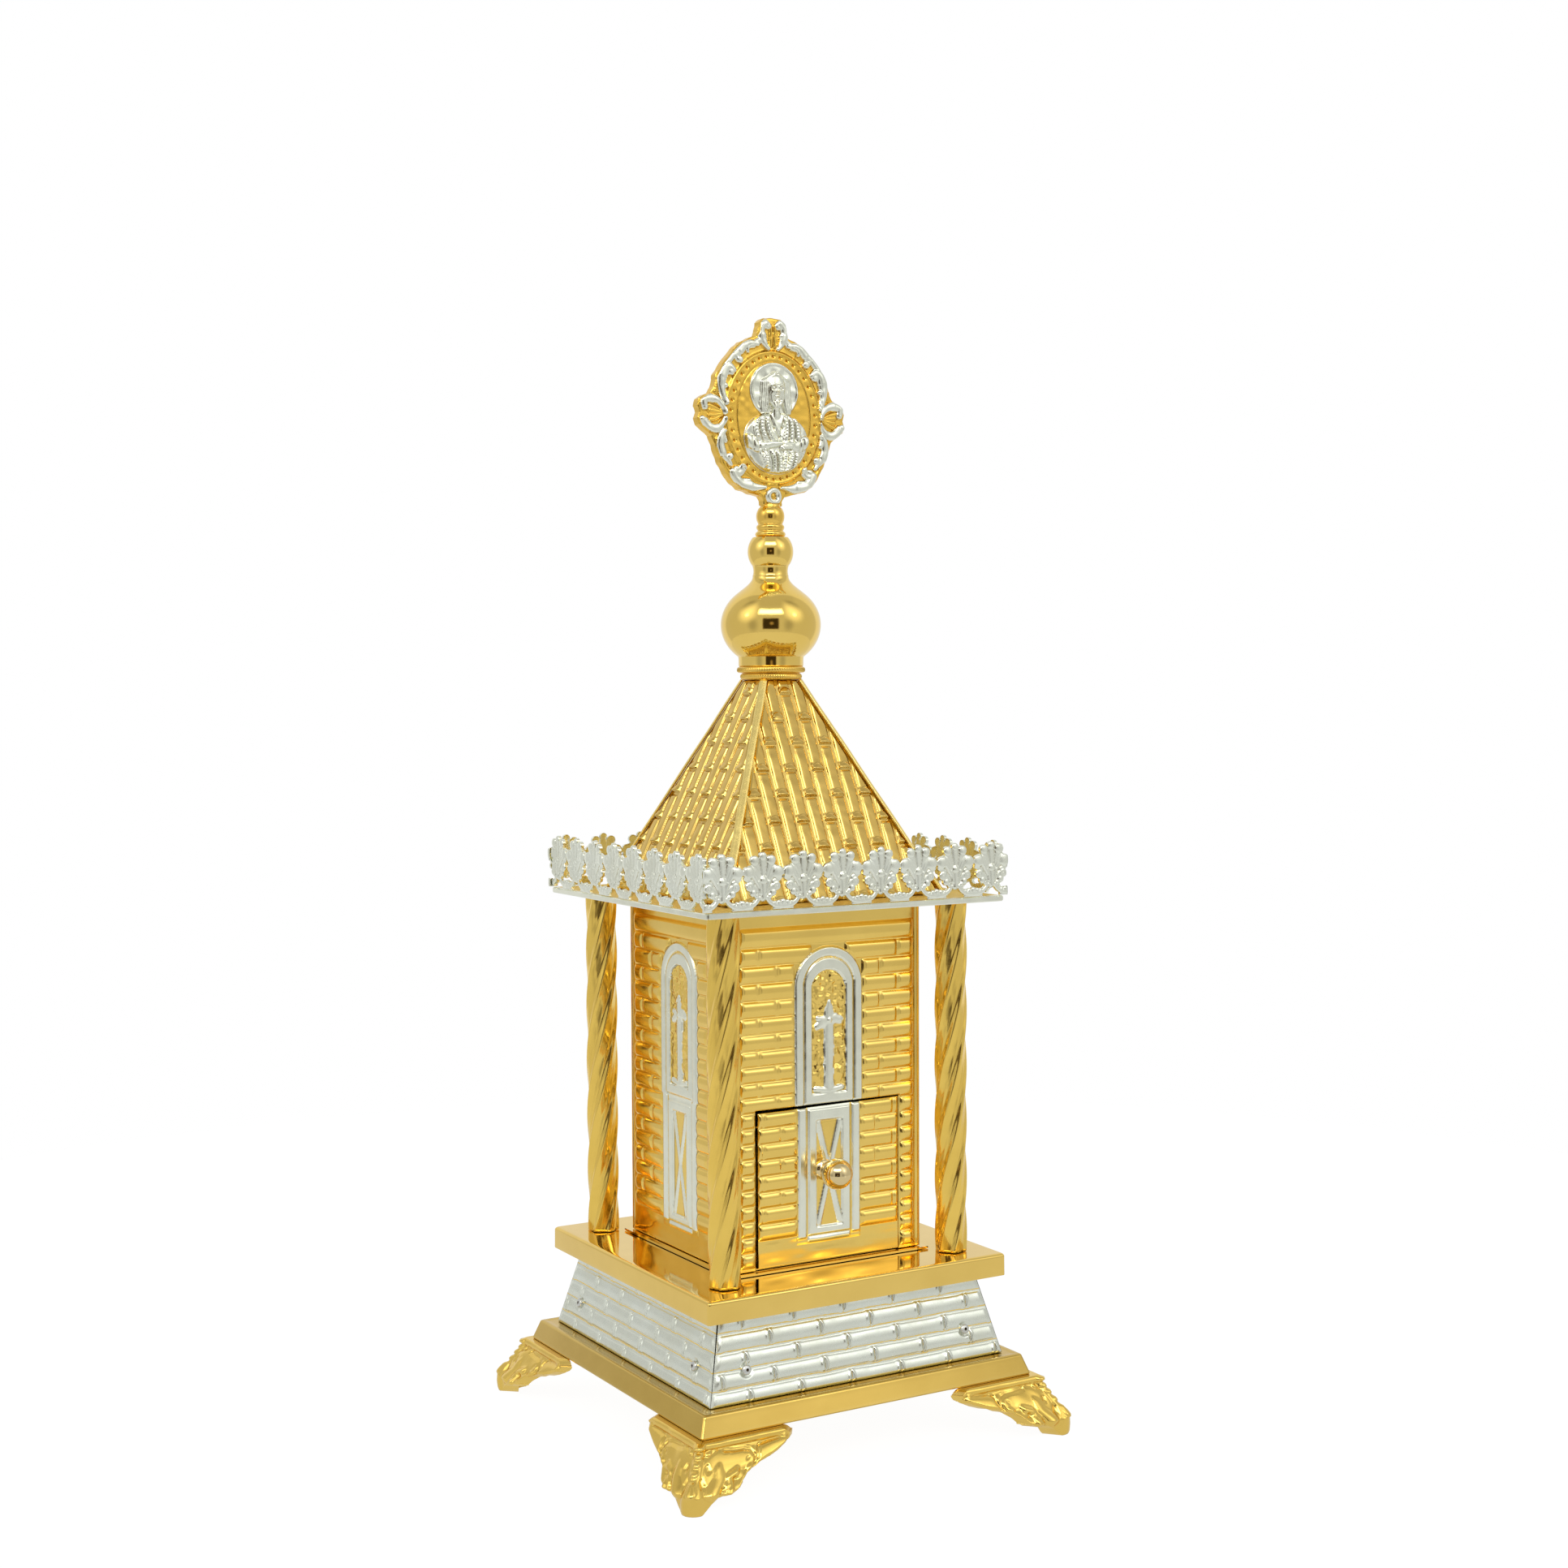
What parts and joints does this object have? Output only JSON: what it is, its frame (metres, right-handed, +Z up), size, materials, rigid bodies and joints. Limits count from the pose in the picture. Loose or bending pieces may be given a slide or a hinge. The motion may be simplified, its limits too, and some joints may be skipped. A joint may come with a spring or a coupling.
{
  "type": "tabernacle box",
  "caption": "Altar tabernacle shaped as a tower: cast feet, stepped base, brick-pressed box with a sliding drawer, rope columns, gallery, pyramid roof, onion dome and oval medallion.",
  "frame": {"origin": "on the ground plane, at the centre of the four feet", "axes": "+Z up through the finial; the drawer front and the medallion face -Y; +X is to the right of someone facing the drawer"},
  "size_m": [0.1944, 0.1944, 0.5002],
  "materials": {
    "polished_gold": "mirror-polished gold plate",
    "embossed_gold": "pressed sheet, bright gold plate",
    "roof_gold": "pressed tiled sheet, bright gold plate",
    "column_gold": "twisted rope column, bright gold plate",
    "cast_gold": "cast, satin gold plate",
    "medallion_gold_silver": "cast relief, gold ground with silvered figure and scrolls",
    "tray_gold": "satin gold plate inside the drawer",
    "embossed_silver": "pressed brick sheet, silver plate",
    "gallery_silver": "pierced palmette strip, silver plate",
    "edge_silver": "silvered edge over a gilt sheet",
    "screw_silver": "small domed screws, silver plate",
    "bare_steel": "plain steel inside the assembly"
  },
  "bodies": {
    "housing": {"foot_front_left": "cast_gold", "foot_front_right": "cast_gold", "foot_rear_right": "cast_gold", "foot_rear_left": "cast_gold", "plinth": "polished_gold", "skirt_frame": "bare_steel", "skirt_panel_front": "embossed_silver", "skirt_panel_right": "embossed_silver", "skirt_panel_rear": "embossed_silver", "skirt_panel_left": "embossed_silver", "skirt_screw_front_a": "screw_silver", "skirt_screw_front_b": "screw_silver", "skirt_screw_right_a": "screw_silver", "skirt_screw_right_b": "screw_silver", "skirt_screw_rear_a": "screw_silver", "skirt_screw_rear_b": "screw_silver", "skirt_screw_left_a": "screw_silver", "skirt_screw_left_b": "screw_silver", "mid_plate": "polished_gold", "box_floor": "polished_gold", "front_wall": "embossed_gold", "rear_wall": "embossed_gold", "left_wall": "embossed_gold", "right_wall": "embossed_gold", "drawer_sleeve": "bare_steel", "column_front_left": "column_gold", "column_front_right": "column_gold", "column_rear_right": "column_gold", "column_rear_left": "column_gold", "tie_rod_front_left": "bare_steel", "tie_rod_front_right": "bare_steel", "tie_rod_rear_right": "bare_steel", "tie_rod_rear_left": "bare_steel", "roof_plate": "edge_silver", "gallery_front": "gallery_silver", "gallery_right": "gallery_silver", "gallery_rear": "gallery_silver", "gallery_left": "gallery_silver", "roof_panel_front": "roof_gold", "roof_panel_right": "roof_gold", "roof_panel_rear": "roof_gold", "roof_panel_left": "roof_gold", "roof_hip_front_left": "roof_gold", "roof_hip_front_right": "roof_gold", "roof_hip_rear_right": "roof_gold", "roof_hip_rear_left": "roof_gold", "collar": "polished_gold", "onion_dome": "polished_gold", "neck_ferrule": "polished_gold", "finial_ball": "polished_gold", "finial_stem": "cast_gold", "centre_rod": "bare_steel", "centre_nut": "bare_steel", "medallion": "medallion_gold_silver"},
    "drawer": {"drawer_front": "embossed_gold", "drawer_tray": "tray_gold", "drawer_knob": "polished_gold", "knob_screw": "bare_steel"}
  },
  "joints": [
    {"name": "drawer_slide", "type": "slide", "parent": "housing", "child": "drawer", "axis": [0, -1, 0], "range_m": [0, 0.07]}
  ]
}
